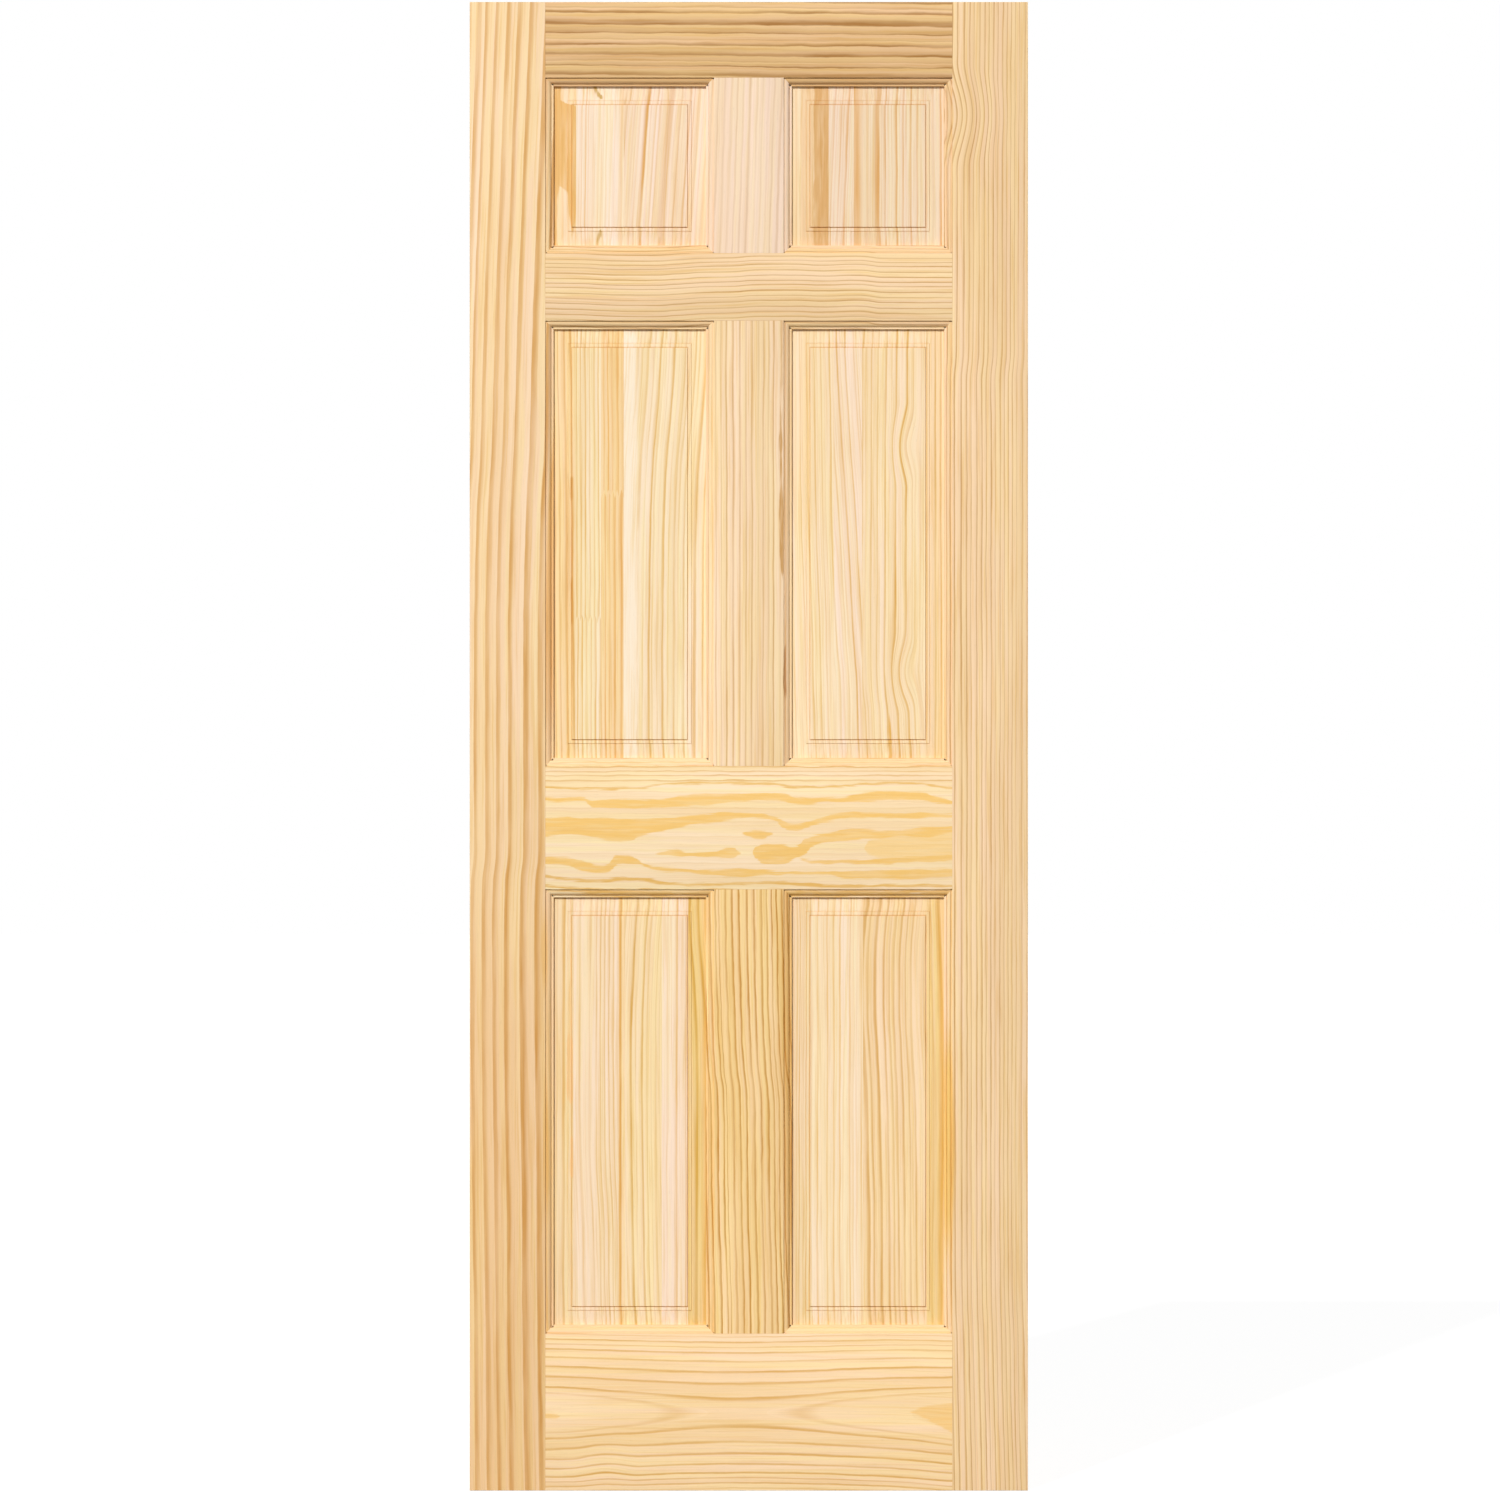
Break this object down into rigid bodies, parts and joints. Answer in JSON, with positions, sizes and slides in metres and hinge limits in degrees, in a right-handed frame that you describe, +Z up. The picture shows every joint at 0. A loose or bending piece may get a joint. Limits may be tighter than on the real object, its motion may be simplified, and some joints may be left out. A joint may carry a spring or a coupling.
{
  "type": "six-panel interior door slab",
  "caption": "Unfinished pine interior door leaf: moulded stile-and-rail frame, coped and tenoned, with floating raised panels in three rows, hung by its long edge.",
  "frame": {"origin": "on the hinge edge, at the bottom of the slab, in the middle of its thickness", "axes": "+X across the door from the hinge edge to the lock edge, -Y out of the front face, +Z up"},
  "size_m": [0.762, 0.0348, 2.032],
  "materials": {
    "stile_pine": "planed and sanded, unfinished",
    "rail_pine": "planed and sanded, unfinished",
    "mullion_pine": "planed and sanded, unfinished",
    "panel_pine": "planed and sanded, unfinished"
  },
  "bodies": {
    "root": {"hinge_stile": "stile_pine", "lock_stile": "stile_pine", "top_rail": "rail_pine", "frieze_rail": "rail_pine", "lock_rail": "rail_pine", "bottom_rail": "rail_pine", "top_mullion": "mullion_pine", "middle_mullion": "mullion_pine", "bottom_mullion": "mullion_pine", "top_left_panel": "panel_pine", "top_right_panel": "panel_pine", "middle_left_panel": "panel_pine", "middle_right_panel": "panel_pine", "bottom_left_panel": "panel_pine", "bottom_right_panel": "panel_pine"}
  },
  "joints": []
}
